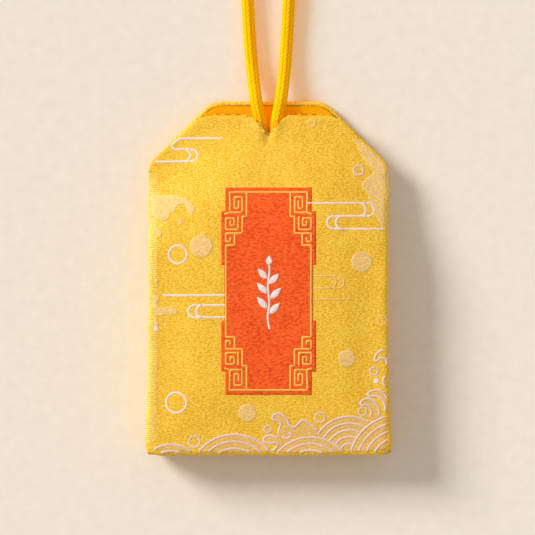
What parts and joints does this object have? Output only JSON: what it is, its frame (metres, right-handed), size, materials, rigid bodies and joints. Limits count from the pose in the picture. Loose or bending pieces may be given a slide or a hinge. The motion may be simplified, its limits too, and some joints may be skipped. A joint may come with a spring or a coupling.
{
  "type": "omamori charm",
  "caption": "Padded brocade amulet pouch with slanted upper corners, a stepped embroidered panel, a wrapped wooden slip inside and a braided hanging loop.",
  "frame": {"origin": "under the middle of the pouch, on the surface that the charm lies on", "axes": "+Z out of the front, +Y up the pouch towards the cord, +X to the right as seen from the front"},
  "size_m": [0.0468, 0.1115, 0.0089],
  "materials": {
    "brocade": "woven golden yellow",
    "lining": "plain woven orange",
    "wadding": "soft white felt",
    "card": "grey-brown pasteboard",
    "paper": "white paper",
    "wood": "bare planed wood",
    "embroidery": "orange satin thread",
    "thread": "twisted pale yellow thread",
    "cord": "braided bright yellow cord"
  },
  "bodies": {
    "pouch": {"front_brocade": "brocade", "front_wadding": "wadding", "front_lining": "lining", "back_brocade": "brocade", "back_lining": "lining", "stiffener_card": "card", "cartouche": "embroidery", "side_seam_thread": "thread", "cord_tail_left": "cord", "cord_tail_right": "cord", "cord_bar_tack": "thread"},
    "slip": {"amulet_slip": "wood", "slip_wrapper": "paper"},
    "loop": {"hanging_cord": "cord"}
  },
  "joints": [
    {"name": "loop_swing", "type": "hinge", "parent": "pouch", "child": "loop", "pos_m": [0, 0.0304, 0.00345], "axis": [1, 0, 0], "range_deg": [0, 90]},
    {"name": "slip_slide", "type": "slide", "parent": "pouch", "child": "slip", "axis": [0, 1, 0], "range_m": [0, 0.003]}
  ]
}
